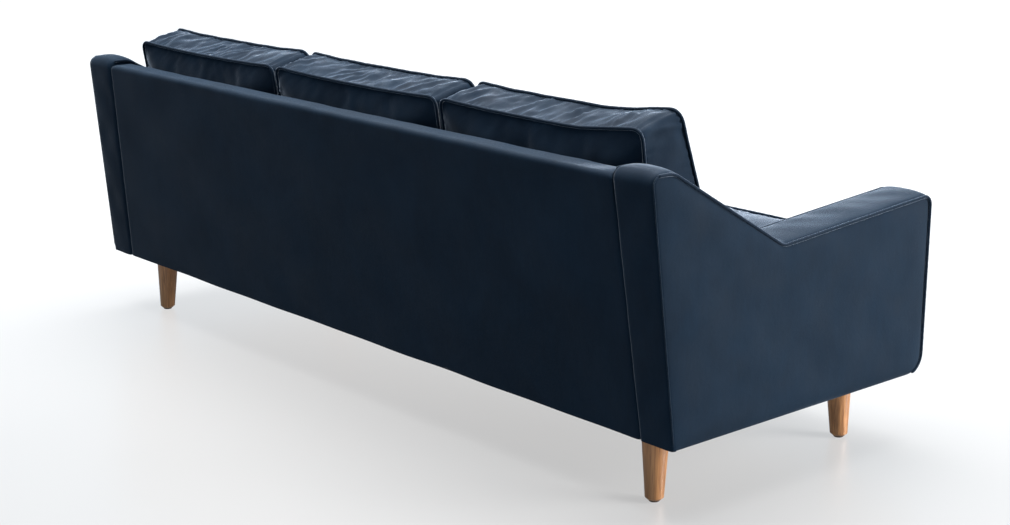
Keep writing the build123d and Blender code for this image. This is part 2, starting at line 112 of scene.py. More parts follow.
world = bpy.data.worlds.new("white_room")
world.use_nodes = True
world_nodes = world.node_tree.nodes
world_links = world.node_tree.links
world_nodes.clear()
rays = world_nodes.new("ShaderNodeLightPath")
lit = world_nodes.new("ShaderNodeBackground")
seen = world_nodes.new("ShaderNodeBackground")
either = world_nodes.new("ShaderNodeMixShader")
world_out = world_nodes.new("ShaderNodeOutputWorld")
lit.inputs["Strength"].default_value = 0.42
seen.inputs["Strength"].default_value = 1.0
lit.inputs["Color"].default_value = (0.42, 0.73, 1, 1)
seen.inputs["Color"].default_value = (1, 1, 1, 1)
world_links.new(rays.outputs["Is Camera Ray"], either.inputs["Fac"])
world_links.new(lit.outputs["Background"], either.inputs[1])
world_links.new(seen.outputs["Background"], either.inputs[2])
world_links.new(either.outputs["Shader"], world_out.inputs["Surface"])
bpy.context.scene.world = world
bpy.context.scene.view_settings.view_transform = "Standard"

# %% [markdown]
# ## Finishes
# Each finish is a small node tree. A helper makes the principled shader, sets its plain numbers on the
# shader itself, and hands back the tree, so that each finish adds only what is special to it: patterns
# that vary its colour, and a bump at the real size of its pile, grain or weave. All patterns read object
# coordinates, which here are metres in the sofa's own frame.

# %% Helpers for node materials
class Finish:
    """A principled material with helpers to add noise, ramps, mixes and bump to it."""

    def __init__(self, name, colour, roughness, **sockets):
        self.material = bpy.data.materials.new(name)
        self.material.use_nodes = True
        self.material.diffuse_color = (*colour, 1)
        self.nodes = self.material.node_tree.nodes
        self.links = self.material.node_tree.links
        self.shader = self.nodes["Principled BSDF"]
        self.shader.inputs["Base Color"].default_value = (*colour, 1)
        self.shader.inputs["Roughness"].default_value = roughness
        for socket, value in sockets.items():
            self.shader.inputs[socket.replace("_", " ")].default_value = value
        self.place = self.nodes.new("ShaderNodeTexCoord").outputs["Object"]

    def stretched(self, scale, turn=(0, 0, 0)):
        """Object coordinates, scaled and turned."""
        mapping = self.nodes.new("ShaderNodeMapping")
        mapping.inputs["Scale"].default_value = scale
        mapping.inputs["Rotation"].default_value = turn
        self.links.new(self.place, mapping.inputs["Vector"])
        return mapping.outputs["Vector"]

    def noise(self, scale, detail=2.0, place=None, distortion=0.0):
        """A cloud pattern: scale is about how many patches there are in a metre."""
        node = self.nodes.new("ShaderNodeTexNoise")
        node.inputs["Scale"].default_value = scale
        node.inputs["Detail"].default_value = detail
        node.inputs["Distortion"].default_value = distortion
        self.links.new(place or self.place, node.inputs["Vector"])
        return node.outputs["Fac"]

    def weave(self, scale, place=None):
        """Fine parallel bands."""
        node = self.nodes.new("ShaderNodeTexWave")
        node.inputs["Scale"].default_value = scale
        self.links.new(place or self.place, node.inputs["Vector"])
        return node.outputs["Fac"]

    def ramp(self, factor, *stops):
        """A factor turned into colours, from (position, colour) stops."""
        node = self.nodes.new("ShaderNodeValToRGB")
        elements = node.color_ramp.elements
        for element, (position, colour) in zip(elements, stops):
            element.position = position
            element.color = (*colour, 1)
        for position, colour in stops[2:]:
            elements.new(position).color = (*colour, 1)
        self.links.new(factor, node.inputs["Fac"])
        return node.outputs["Color"]

    def mix(self, kind, amount, first, second):
        """Two colours mixed by a Multiply, Overlay or other rule."""
        node = self.nodes.new("ShaderNodeMix")
        node.data_type = "RGBA"
        node.blend_type = kind
        node.inputs["Factor"].default_value = amount
        self.links.new(first, node.inputs["A"])
        self.links.new(second, node.inputs["B"])
        return node.outputs["Result"]

    def spread(self, factor, low, high):
        """A factor from 0 to 1 turned into a range of numbers."""
        node = self.nodes.new("ShaderNodeMapRange")
        node.inputs["To Min"].default_value = low
        node.inputs["To Max"].default_value = high
        self.links.new(factor, node.inputs["Value"])
        return node.outputs["Result"]

    def bump(self, height, distance, strength=1.0, below=None):
        """Relief of a real depth in metres, laid over an earlier bump if there is one."""
        node = self.nodes.new("ShaderNodeBump")
        node.inputs["Distance"].default_value = distance
        node.inputs["Strength"].default_value = strength
        self.links.new(height, node.inputs["Height"])
        if below is not None:
            self.links.new(below, node.inputs["Normal"])
        return node.outputs["Normal"]

    def plug(self, output, socket):
        """Feed a pattern to one of the shader's sockets."""
        self.links.new(output, self.shader.inputs[socket])


# %% [markdown]
# ### Velvet
# Velvet is a short upright pile. Seen straight on, light sinks between the fibres, so it is nearly black.
# Seen at a slant, the fibre sides catch light, so every fold and edge has a pale rim: that is what the
# shader's sheen layer does. Hands and packing brush the pile different ways, which shows as soft patches
# a hand wide. The pile itself is a bump well under a millimetre deep.

# %% Velvet for covers, and the same cloth on the bias for piping
def velvet(name, dark, light, sheen, patch=7.0):
    """Navy pile: two tones brushed into soft patches, with streaks and a fine nap."""
    cloth = Finish(
        name,
        dark,
        0.82,
        Sheen_Weight=sheen,
        Sheen_Roughness=0.26,
        Sheen_Tint=(0.72, 0.83, 1.0, 1),
        Specular_IOR_Level=0.10,
    )
    patches = cloth.ramp(cloth.noise(patch, 3.0, distortion=0.6), (0.3, dark), (0.72, light))
    streaks = cloth.noise(90, 2.0, cloth.stretched((1, 1, 0.22), (0.2, 0.3, 0)))
    nap = cloth.ramp(streaks, (0.25, (0.82, 0.82, 0.82)), (0.8, (1, 1, 1)))
    cloth.plug(cloth.mix("MULTIPLY", 0.8, patches, nap), "Base Color")
    cloth.plug(cloth.spread(cloth.noise(patch * 2), 0.74, 0.92), "Roughness")
    ruffle = cloth.bump(cloth.noise(130, 2.0), 0.0010, 0.25)
    cloth.plug(cloth.bump(cloth.noise(1700, 2.0), 0.0003, 0.6, ruffle), "Normal")
    return cloth.material


NAVY = (0.0014, 0.0074, 0.0166)
NAVY_LIGHT = (0.0025, 0.0104, 0.0224)
COVER_VELVET = velvet("navy_velvet", NAVY, NAVY_LIGHT, 0.41)
CUSHION_VELVET = velvet("navy_velvet_cushion", (0.0012, 0.0062, 0.0145), NAVY_LIGHT, 0.74, 9.0)
PIPING_VELVET = velvet("navy_velvet_piping", (0.0015, 0.0070, 0.0165), NAVY, 0.72, 20.0)

# %% [markdown]
# ### Wood
# The legs are turned from a straight-grained hardwood, stained a warm brown and lacquered to a satin.
# Grain runs up the leg, so the noise is squeezed across it. Two scales are mixed: broad bands for growth
# rings and fine dark pores. The hidden frame is pale, dry softwood and plywood, with no lacquer.

# %% Stained leg wood, frame wood and plywood
def timber(name, dark, light, roughness, coat, along):
    """Grain that runs along one axis, with broad bands and fine pores."""
    wood = Finish(name, light, roughness, Coat_Weight=coat, Coat_Roughness=0.28)
    squeeze = [110.0, 110.0, 110.0]
    squeeze[along] = 4.0
    fine = [520.0, 520.0, 520.0]
    fine[along] = 16.0
    bands = wood.noise(1.0, 4.0, wood.stretched(squeeze), 1.2)
    pores = wood.noise(1.0, 3.0, wood.stretched(fine))
    tone = wood.ramp(bands, (0.3, dark), (0.68, light))
    specks = wood.ramp(pores, (0.34, (0.62, 0.58, 0.55)), (0.52, (1, 1, 1)))
    wood.plug(wood.mix("MULTIPLY", 0.75, tone, specks), "Base Color")
    wood.plug(wood.spread(bands, roughness - 0.06, roughness + 0.1), "Roughness")
    wood.plug(wood.bump(pores, 0.0004, 0.35), "Normal")
    return wood.material


LEG_WOOD = timber("leg_wood", (0.20, 0.082, 0.026), (0.42, 0.195, 0.072), 0.42, 0.25, 2)
FRAME_WOOD = timber("frame_wood", (0.46, 0.31, 0.17), (0.68, 0.50, 0.31), 0.75, 0.0, 0)
PLYWOOD = timber("plywood", (0.50, 0.35, 0.20), (0.72, 0.55, 0.35), 0.7, 0.0, 1)


# %% [markdown]
# ### Small finishes
# Zinc-plated steel for plates, screws and springs; moulded plastic for the glides; open foam; woven
# elastic for the straps; and two plain cloths, one under the seat cushions and one stapled underneath.

# %% Steel, plastic, foam, webbing and lining cloths
def steel():
    """Plated wire and plate, with a faint rolled streak."""
    metal = Finish("plated_steel", (0.55, 0.55, 0.56), 0.34, Metallic=1.0)
    streak = metal.noise(60, 3.0, metal.stretched((1, 9, 9)))
    metal.plug(metal.spread(streak, 0.26, 0.46), "Roughness")
    metal.plug(metal.ramp(streak, (0.3, (0.42, 0.42, 0.43)), (0.7, (0.6, 0.6, 0.61))), "Base Color")
    return metal.material


def glide_plastic():
    """Dark moulded nylon, scuffed where it slides."""
    plastic = Finish("glide_plastic", (0.03, 0.024, 0.02), 0.5)
    scuffs = plastic.noise(500, 3.0)
    plastic.plug(plastic.spread(scuffs, 0.4, 0.7), "Roughness")
    plastic.plug(
        plastic.ramp(scuffs, (0.35, (0.02, 0.016, 0.013)), (0.7, (0.05, 0.04, 0.034))), "Base Color"
    )
    plastic.plug(plastic.bump(scuffs, 0.0002, 0.4), "Normal")
    return plastic.material


def foam():
    """Cream polyurethane foam with open cells."""
    cells = Finish("foam", (0.83, 0.78, 0.64), 0.95)
    pores = cells.noise(900, 2.0)
    cells.plug(cells.ramp(pores, (0.35, (0.62, 0.56, 0.42)), (0.6, (0.85, 0.8, 0.66))), "Base Color")
    cells.plug(cells.bump(pores, 0.0006, 0.8), "Normal")
    return cells.material


def plain_cloth(name, dark, light, threads, roughness=0.9):
    """A plain weave: two sets of bands crossed, threads to the metre."""
    cloth = Finish(name, light, roughness)
    warp = cloth.weave(threads, cloth.stretched((1, 0, 0.6)))
    weft = cloth.weave(threads, cloth.stretched((0, 1, 0.6), (0, 0, 1.5708)))
    along = cloth.ramp(warp, (0.2, dark), (0.8, light))
    across = cloth.ramp(weft, (0.2, light), (0.8, (1, 1, 1)))
    crossed = cloth.mix("MULTIPLY", 1.0, along, across)
    cloth.plug(crossed, "Base Color")
    cloth.plug(cloth.bump(warp, 0.0003, 0.5), "Normal")
    return cloth.material


STEEL = steel()
GLIDE_PLASTIC = glide_plastic()
FOAM = foam()
WEBBING = plain_cloth("webbing", (0.06, 0.05, 0.045), (0.25, 0.22, 0.2), 180)
DUST_CLOTH = plain_cloth("dust_cloth", (0.012, 0.012, 0.012), (0.17, 0.17, 0.17), 260)
LINING = plain_cloth("lining_cloth", (0.03, 0.04, 0.055), (0.2, 0.23, 0.28), 240)

# %% [markdown]
# ### Paper
# The paper is a touch glossy, so the legs reflect in it. Its glow stands for a light behind the sweep.
# Like the room, it is not physical: the glow is cut where it would light the sofa.

# %% Pale paper floor
def paper():
    """A pale, faintly glossy sweep, lit from behind: its glow grows past the sofa, and far from it."""
    sheet = Finish("pale_floor", (0.12, 0.12, 0.121), 0.3, Specular_IOR_Level=0.4)
    sheet.plug(sheet.spread(sheet.noise(3, 2.0), 0.26, 0.34), "Roughness")
    away = sheet.nodes.new("ShaderNodeVectorMath")
    away.operation = "DOT_PRODUCT"
    away.inputs[1].default_value = (np.sin(CAMERA_TURN), -np.cos(CAMERA_TURN), 0)
    sheet.links.new(sheet.place, away.inputs[0])
    glow = sheet.nodes.new("ShaderNodeMapRange")
    glow.inputs["From Min"].default_value = -1.0
    glow.inputs["From Max"].default_value = 2.4
    glow.inputs["To Min"].default_value = 0.47
    glow.inputs["To Max"].default_value = 0.92
    sheet.links.new(away.outputs["Value"], glow.inputs["Value"])
    from_middle = sheet.nodes.new("ShaderNodeVectorMath")
    from_middle.operation = "LENGTH"
    sheet.links.new(sheet.place, from_middle.inputs[0])
    far_glow = sheet.nodes.new("ShaderNodeMapRange")
    far_glow.inputs["From Min"].default_value = 3.2
    far_glow.inputs["From Max"].default_value = 7.5
    sheet.links.new(from_middle.outputs["Value"], far_glow.inputs["Value"])
    brighter = sheet.nodes.new("ShaderNodeMath")
    brighter.operation = "MAXIMUM"
    sheet.links.new(glow.outputs["Result"], brighter.inputs[0])
    sheet.links.new(far_glow.outputs["Result"], brighter.inputs[1])
    rays = sheet.nodes.new("ShaderNodeLightPath").outputs["Is Camera Ray"]
    dimmed = sheet.nodes.new("ShaderNodeMath")
    dimmed.operation = "MULTIPLY"
    sheet.links.new(sheet.spread(rays, 0.35, 1.0), dimmed.inputs[0])
    sheet.links.new(brighter.outputs["Value"], dimmed.inputs[1])
    sheet.shader.inputs["Emission Color"].default_value = (1, 0.988, 0.98, 1)
    sheet.plug(dimmed.outputs["Value"], "Emission Strength")
    return sheet.material


FLOOR_HALF = 40.0
floor_mesh = bpy.data.meshes.new("floor")
floor_mesh.from_pydata(
    [
        (-FLOOR_HALF, -FLOOR_HALF, 0),
        (FLOOR_HALF, -FLOOR_HALF, 0),
        (FLOOR_HALF, FLOOR_HALF, 0),
        (-FLOOR_HALF, FLOOR_HALF, 0),
    ],
    [],
    [(0, 1, 2, 3)],
)
floor_mesh.materials.append(paper())
floor = bpy.data.objects.new("floor", floor_mesh)
bpy.context.scene.collection.objects.link(floor)

# %% [markdown]
# ## CAD pieces that stay
# The frame, springs, fixings and legs already have their true shapes, so they only need their finishes.
# The record says which finish each node has.

# %% Finishes on the CAD nodes
SLOT_FINISH = {
    "leg_wood": LEG_WOOD,
    "frame_wood": FRAME_WOOD,
    "plywood": PLYWOOD,
    "steel": STEEL,
    "glide_plastic": GLIDE_PLASTIC,
    "foam": FOAM,
    "webbing": WEBBING,
}
dressed = 0
for part in frame["record"]["subparts"]:
    finish = SLOT_FINISH.get(part["material_slot"])
    if finish:
        for material_slot in frame["nodes"][part["node"]].material_slots:
            material_slot.material = finish
        dressed += 1
print("CAD nodes given a finish:", dressed)

# %% [markdown]
# ## Sizes read from the frame
# The covers are fitted to the CAD pads, so the main sizes are read from their boxes. Only the corners of
# the arm's side outline and their radii are stated here, because a box doesn't hold them.

# %% Widths, heights and rakes
def low_high(node):
    """A CAD node's lowest and highest corners, in metres."""
    low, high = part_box(node)
    return np.array(low), np.array(high)


strip_low, strip_high = low_high("arm_back_strip_right")
arm_pad_high = low_high("arm_top_pad_right")[1]
inner_low = low_high("arm_inner_pad_right")[0]
back_low, back_high = low_high("back_outer_cover")
inside_low, inside_high = low_high("back_inner_pad")
border_low = low_high("front_border_pad")[0]
deck_high = low_high("seat_deck_pad")[1]

HALF_WIDTH = strip_high[0]
BASE = strip_low[2]
HALF_SEAT = inner_low[0]
BACK_TOP = back_high[2]
ARM_TOP = arm_pad_high[2]
DECK = deck_high[2]
SEAM_FOOT = back_high[0]
COVER = 0.005
REAR_FOOT = back_low[1] + COVER
REAR_RAKE = (back_high[1] - REAR_FOOT) / (BACK_TOP - BASE)
PAD = 0.018
INSIDE_RAKE = (inside_high[1] - PAD - inside_low[1]) / (inside_high[2] - inside_low[2])
SEAM_HEAD = HALF_WIDTH - 0.1255
ARM_LEAN = 0.017
print("half width", HALF_WIDTH, "back top", BACK_TOP, "rear rake", REAR_RAKE)


def rear_y(z):
    """Y of the outside back at height z."""
    return REAR_FOOT + REAR_RAKE * (z - BASE)


def inside_y(z):
    """Y of the inside back at height z."""
    return inside_low[1] + INSIDE_RAKE * (z - inside_low[2])


def share_up(z):
    """How far z is from the underside, 0, to the top of the back rail, 1."""
    return (z - BASE) / (BACK_TOP - BASE)


def outer_x(z):
    """Half width of the sofa at height z, as its arms lean in."""
    return HALF_WIDTH - ARM_LEAN * share_up(z)


def seam_x(z):
    """How far out the seam between the back and the arm's strip is at height z."""
    return SEAM_FOOT + (SEAM_HEAD - SEAM_FOOT) * share_up(z)


# %% [markdown]
# ## Surfaces from arrays
# Every cover is a grid of points worked out in numpy. `grid_faces` numbers the corners of a grid's
# faces, and `piece` turns the arrays into an object that rides on a body. Paths in the side view are
# straight runs joined by true arcs, then spaced evenly, so that a profile can be carried along them.

# %% Grids and objects
def grid_faces(rows, columns, wrap_rows=False, wrap_columns=False, first=0):
    """Corner numbers of the faces of a rows by columns grid, four to a face."""
    row = np.arange(rows if wrap_rows else rows - 1)[:, None]
    column = np.arange(columns if wrap_columns else columns - 1)[None, :]
    next_row = (row + 1) % rows
    next_column = (column + 1) % columns
    corners = np.stack(
        [
            row * columns + column,
            next_row * columns + column,
            next_row * columns + next_column,
            row * columns + next_column,
        ],
        -1,
    )
    return first + corners.reshape(-1, 4)


def piece(name, points, faces, material, body, replaces=(), outward=None):
    """An object at the origin from points and faces, smooth, riding on a body.

    outward is a direction that its faces should look in on average; without it the mesh is taken as
    closed, and its faces are turned to look out.
    """
    mesh = bpy.data.meshes.new(name)
    mesh.from_pydata(np.asarray(points, float).reshape(-1, 3), [], np.asarray(faces))
    mesh.materials.append(material)
    mesh.polygons.foreach_set("use_smooth", np.ones(len(mesh.polygons), bool))
    build = bmesh.new()
    build.from_mesh(mesh)
    bmesh.ops.remove_doubles(build, verts=build.verts, dist=1e-6)
    if outward is None:
        open_edges = [edge for edge in build.edges if edge.is_boundary]
        bmesh.ops.holes_fill(build, edges=open_edges, sides=0)
        bmesh.ops.recalc_face_normals(build, faces=build.faces)
    else:
        facing = sum((face.normal * face.calc_area() for face in build.faces), Vector())
        if facing.dot(Vector(outward)) < 0:
            bmesh.ops.reverse_faces(build, faces=build.faces)
    build.to_mesh(mesh)
    build.free()
    made = bpy.data.objects.new(name, mesh)
    bpy.context.scene.collection.objects.link(made)
    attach(made, body)
    if replaces:
        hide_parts(*replaces)
    print(name, len(mesh.polygons), "faces")
    return made


def crowded(count, crowd=0.85):
    """Numbers from 0 to 1, closer together near both ends: s - crowd sin(2 pi s) / 2 pi."""
    share = np.linspace(0, 1, count)
    return share - crowd * np.sin(2 * np.pi * share) / (2 * np.pi)


def evenly(path, count, crowd=0.0):
    """A path of any points, given again as count points spaced evenly, or crowded at its ends."""
    path = np.asarray(path, float)
    along = np.concatenate([[0], np.cumsum(np.linalg.norm(np.diff(path, axis=0), axis=1))])
    wanted = along[-1] * crowded(count, crowd)
    return np.stack([np.interp(wanted, along, axis) for axis in path.T], -1)


def rounded(corners, radii, count, turn_steps=14):
    """Straight runs joined by arcs of the given radii, as count evenly spaced points.

    An arc touches each run at radius / tan(half the corner's angle) from the corner, and its centre is
    on the corner's bisector.
    """
    corners = [np.array(corner, float) for corner in corners]
    runs = [corners[0][None]]
    for before, corner, after, radius in zip(corners, corners[1:], corners[2:], radii):
        back = (before - corner) / np.linalg.norm(before - corner)
        ahead = (after - corner) / np.linalg.norm(after - corner)
        half = 0.5 * np.arccos(np.clip(back @ ahead, -1, 1))
        bisector = (back + ahead) / np.linalg.norm(back + ahead)
        centre = corner + bisector * radius / np.sin(half)
        start = corner + back * radius / np.tan(half) - centre
        end = corner + ahead * radius / np.tan(half) - centre
        share = np.linspace(0, 1, turn_steps)[:, None]
        chord = start + (end - start) * share
        runs.append(centre + radius * chord / np.linalg.norm(chord, axis=1, keepdims=True))
    runs.append(corners[-1][None])
    return evenly(np.concatenate(runs), count)


def side_normals(path):
    """Unit normals of a path in the side view, on its left as it runs."""
    ahead = np.gradient(path, axis=0)
    ahead /= np.linalg.norm(ahead, axis=1, keepdims=True)
    return np.stack([-ahead[:, 1], ahead[:, 0]], -1)


def ripple(seed, coordinates, wavelengths, count=14):
    """Smooth random waves between about -1 and 1: cosines of random length and phase, added.

    coordinates is a list of arrays, one for each direction, and wavelengths the (shortest, longest)
    wave along each of them, in metres.
    """
    draw = np.random.default_rng(seed)
    total = np.zeros_like(coordinates[0])
    for _ in range(count):
        phase = draw.uniform(0, 2 * np.pi)
        for axis, (short, long) in zip(coordinates, wavelengths):
            phase = phase + 2 * np.pi * axis * draw.choice((-1, 1)) / draw.uniform(short, long)
        total = total + np.cos(phase)
    return total / np.sqrt(count)


# %% [markdown]
# ## Piping
# Piping is a cord sewn into a strip of velvet cut on the bias. It stands half proud of a seam and is
# never quite even: the cord bulges a little between stitches. So it is a tube of small round rings along
# the seam, whose radius swells and shrinks by a few hundredths.

# %% A tube along a seam
PIPING_RADIUS = 0.0036
SEAM_FOLD_RADIUS = 0.0012


def tube(path, sideways, radius, sides=10, closed=False, seed=1):
    """Rings of points round a path: each ring lies in the plane across the path.

    sideways is a field of directions not along the path. The radius follows a fine ripple, and an open
    tube's first and last rings shrink so that its ends close neatly.
    """
    if closed:
        ahead = np.roll(path, -1, axis=0) - np.roll(path, 1, axis=0)
    else:
        ahead = np.gradient(path, axis=0)
    ahead /= np.linalg.norm(ahead, axis=1, keepdims=True)
    across = np.cross(ahead, sideways)
    across /= np.linalg.norm(across, axis=1, keepdims=True)
    upward = np.cross(across, ahead)
    distance = np.arange(len(path)) * np.linalg.norm(path[1] - path[0])
    size = radius * (1 + 0.035 * ripple(seed, [distance], [(0.006, 0.03)]))
    if not closed:
        from_end = np.minimum(np.arange(len(path)), np.arange(len(path))[::-1])
        size = size * np.sqrt(np.clip((from_end + 0.3) / 2.5, 0.05, 1))
    angle = np.linspace(0, 2 * np.pi, sides, endpoint=False)
    ring = np.cos(angle)[None, :, None] * across[:, None] + np.sin(angle)[None, :, None] * upward[:, None]
    points = path[:, None] + ring * size[:, None, None]
    return points, grid_faces(len(path), sides, wrap_rows=closed, wrap_columns=True)


# %% [markdown]
# ## Arms
# Each arm is a padded box: a flat outside panel, a flat inside panel, and one long strip that starts
# under the front, climbs it, runs back along the armrest, up the slope and over the crest, and goes down
# the back corner. The strip is cut wide enough to crown between its seams. Piping is sewn into its outer
# and inner edges, except down the back, where the strip and its neighbours meet in plain seams.

# %% The arm's outline in the side view
ARM_FOOT = -0.4045
ARM_LIP_HEIGHT = 0.549
ARM_LIP = ARM_FOOT - 0.0197
arm_corners = [
    (ARM_FOOT + 0.056, BASE),
    (ARM_FOOT, BASE),
    (ARM_LIP, ARM_LIP_HEIGHT),
    (0.054, 0.513),
    (0.366, ARM_TOP),
    (rear_y(ARM_TOP), ARM_TOP),
    (REAR_FOOT, BASE),
]
ARM_RADII = (0.046, 0.022, 0.040, 0.060, 0.020)
arm_path = rounded(arm_corners, ARM_RADII, 460)
arm_normal = side_normals(arm_path)
print("strip length", np.linalg.norm(np.diff(arm_path, axis=0), axis=1).sum())


def inset_path(depth):
    """The arm's outline moved in by a depth."""
    return arm_path - arm_normal * depth


def nearest(path, corner):
    """The number of the path's point that is nearest to a corner."""
    return int(np.argmin(np.linalg.norm(path - np.array(corner), axis=1)))


FRONT_FOOT, FRONT_TOP, _, CREST, REAR_TOP = (nearest(arm_path, c) for c in arm_corners[1:6])


# %% [markdown]
# ### Strip, panels and piping of an arm
# The strip runs up the back corner, over the sloping top and down the front. The outside and inside
# panels fill its outline, with piping between them and a plain folded seam down the rear corner.

# %% The long strip
def arm_strip(side, name):
    """A profile across the arm carried along its outline.

    Across, the profile goes from the inner edge to the outer edge. It stands out by the crown in the
    middle, falls off to its seams with the sixteenth power of the distance from the middle, and has soft
    hollows from the padding. Down the back, its inner edge moves out to the back's seam.
    """
    across = crowded(37)[None, :]
    y, z = arm_path[:, :1], arm_path[:, 1:]
    down_back = np.clip((y - (rear_y(z) - 0.035)) / 0.03, 0, 1) * (np.arange(len(y))[:, None] > CREST)
    inner = HALF_SEAT + 0.001 + down_back * (seam_x(z) - 0.0015 - HALF_SEAT)
    outer = outer_x(z) - 0.001
    x = inner + (outer - inner) * across
    off_middle = np.abs(2 * across - 1)
    high = np.clip((z - BASE) / 0.05, 0, 1) * (1 - 0.7 * down_back)
    crown = 0.0060 * high * (1 - off_middle**2.5) + 0.0010 - 0.0080 * off_middle**20
    travel = np.linspace(0, 2.3, len(y))[:, None] + 0 * across
    hollows = 0.0009 * ripple(3 + side, [travel, x], [(0.06, 0.3), (0.08, 0.3)]) * (1 - off_middle**4)
    out = crown + hollows
    points = np.stack([side * x, y + arm_normal[:, :1] * out, z + arm_normal[:, 1:] * out], -1)
    nodes = [f"arm_{part}_{name}" for part in ("top_pad", "front_pad", "back_strip")]
    faces = grid_faces(*points.shape[:2])
    strip = piece(f"arm_strip_{name}", points, faces, COVER_VELVET, SOFA, nodes, (0, 0, 1))


# %% The outside and inside panels
def coons(bottom, top, left, right):
    """A surface between four edge curves: the two ruled surfaces added, less the corners' flat one."""
    v = crowded(len(left))[:, None, None]
    u = crowded(len(bottom))[None, :, None]
    upright = (1 - v) * bottom[None] + v * top[None]
    level = (1 - u) * left[:, None] + u * right[:, None]
    low = (1 - u) * bottom[0] + u * bottom[-1]
    high = (1 - u) * top[0] + u * top[-1]
    return upright + level - (1 - v) * low - v * high


def arm_panel(side, name, inside):
    """One face of the arm: its outline filled by a grid, pressed in at the seams and full in the middle."""
    path = inset_path(0.0012)
    if inside:
        start = int(np.argmax((path[:, 1] > DECK - 0.02) & (np.arange(len(path)) > FRONT_FOOT)))
        end = REAR_TOP + int(np.argmax(path[REAR_TOP:, 1] < DECK - 0.02))
        rear = path[REAR_TOP : end + 1][::-1]
        bottom = np.stack([path[start], path[end]])
    else:
        start = FRONT_FOOT
        rear = path[REAR_TOP:][::-1]
        bottom = np.concatenate([path[start::-1], path[-1:]])
    columns, rows = 130, 80
    flat = coons(
        evenly(bottom, columns, 0.85),
        evenly(path[FRONT_TOP : REAR_TOP + 1], columns, 0.85),
        evenly(path[start : FRONT_TOP + 1], rows, 0.85),
        evenly(rear, rows, 0.85),
    )
    u = 2 * crowded(columns)[None, :] - 1
    v = 2 * crowded(rows)[:, None] - 1
    full = (1 - np.abs(u) ** 14) * (1 - np.abs(v) ** 14)
    puffs = ripple(11 + side, [flat[..., 0], flat[..., 1]], [(0.12, 0.5), (0.12, 0.5)])
    if inside:
        x = HALF_SEAT + 0.0045 - 0.0045 * full + 0.0006 * full * puffs
        label, node, facing = "arm_inside", f"arm_inner_pad_{name}", (-side, 0, 0)
    else:
        x = outer_x(flat[..., 1]) - 0.0045 + 0.0085 * full + 0.001 * full * puffs
        label, node, facing = "arm_outside", f"arm_outer_cover_{name}", (side, 0, 0)
    points = np.stack([side * x, flat[..., 0], flat[..., 1]], -1)
    faces = grid_faces(rows, columns)
    panel = piece(f"{label}_{name}", points, faces, COVER_VELVET, SOFA, [node], facing)


# %% Piping on the arm's outer and inner edges
def arm_piping(side, name):
    """Two cords that follow the arm's outline from under the front to the crest."""
    path = inset_path(0.0022)[6 : REAR_TOP - 1]
    path = evenly(path, 620)
    for edge in ("outer", "inner"):
        if edge == "outer":
            x = outer_x(path[:, 1]) - 0.0022
        else:
            x = np.full(len(path), HALF_SEAT + 0.0022)
        line = np.stack([side * x, path[:, 0], path[:, 1]], -1)
        points, faces = tube(line, np.array([[1.0, 0, 0]]), PIPING_RADIUS, seed=21 + side)
        nodes = [f"arm_piping_{name}"]
        piece(f"arm_piping_{edge}_{name}", points, faces, PIPING_VELVET, SOFA, nodes)


def corner_seam(side, name):
    """A plain seam's thin folded edge down the rear outer corner, from the crest to the underside."""
    path = evenly(inset_path(0.0016)[REAR_TOP - 4 : -3], 160)
    line = np.stack([side * (outer_x(path[:, 1]) - 0.0016), path[:, 0], path[:, 1]], -1)
    points, faces = tube(line, np.array([[1.0, 0, 0]]), SEAM_FOLD_RADIUS, sides=8, seed=25 + side)
    piece(f"corner_seam_{name}", points, faces, COVER_VELVET, SOFA)


for side, name in ((1, "right"), (-1, "left")):
    arm_strip(side, name)
    corner_seam(side, name)
    arm_panel(side, name, inside=False)
    arm_panel(side, name, inside=True)
    arm_piping(side, name)

# %% [markdown]
# ## Back
# One wide piece of velvet covers the outside back, rolls over the padded top rail and goes down the
# inside. It is a profile in the side view carried along the sofa. Down the outside it ends in a plain
# rolled seam against each arm's strip, so it curls in there. The top rail is soft: it is rounded over
# both edges and has shallow pulls along it.

# %% Back cover, from the underside over the rail to the deck
def back_cover():
    """A side profile carried along X, with its ends curled in and shallow pulls along the rail."""
    profile = rounded(
        [
            (REAR_FOOT, BASE),
            (rear_y(BACK_TOP), BACK_TOP),
            (inside_y(BACK_TOP), BACK_TOP),
            (inside_y(DECK), DECK),
        ],
        (0.011, 0.016),
        260,
    )
    normal = -side_normals(profile)
    y, z = profile[:, :1], profile[:, 1:]
    outside = (np.arange(len(profile)) < nearest(profile, (rear_y(BACK_TOP), BACK_TOP)))[:, None]
    reach = np.where(outside, seam_x(z) + 0.001, HALF_SEAT + 0.002)
    u = np.sin(np.linspace(-1, 1, 301) * np.pi / 2)[None, :]
    x = reach * u
    to_end = reach - np.abs(x)
    curl = -0.009 * np.exp(-to_end / 0.003)
    rail = np.exp(-(((z - BACK_TOP) / 0.02) ** 2))
    pulls = 0.0007 * rail * ripple(31, [x, y + 0 * x], [(0.10, 0.6), (0.2, 0.6)])
    puffs = 0.0016 * ripple(32, [x, z + 0 * x], [(0.25, 0.9), (0.2, 0.6)])
    out = curl + pulls - 0.0005 + puffs * (1 - rail) * (1 - np.exp(-to_end / 0.05))
    points = np.stack([x, y + normal[:, :1] * out, z + normal[:, 1:] * out], -1)
    faces = grid_faces(*points.shape[:2])
    nodes = ["back_outer_cover", "back_top_pad", "back_inner_pad"]
    cover = piece("back_cover", points, faces, COVER_VELVET, SOFA, nodes, (0, 0.4, 1))


back_cover()

# %% [markdown]
# ## Front border, deck and underside
# Below the seat cushions, a padded velvet border goes up the front rail and rolls back a hand's width
# over the springs. Behind it the deck is covered in plain lining cloth, because the cushions hide it.
# Underneath, a thin black cloth is stapled to the rails to keep dust in.

# %% Border and deck
LIP_DEPTH = 0.10


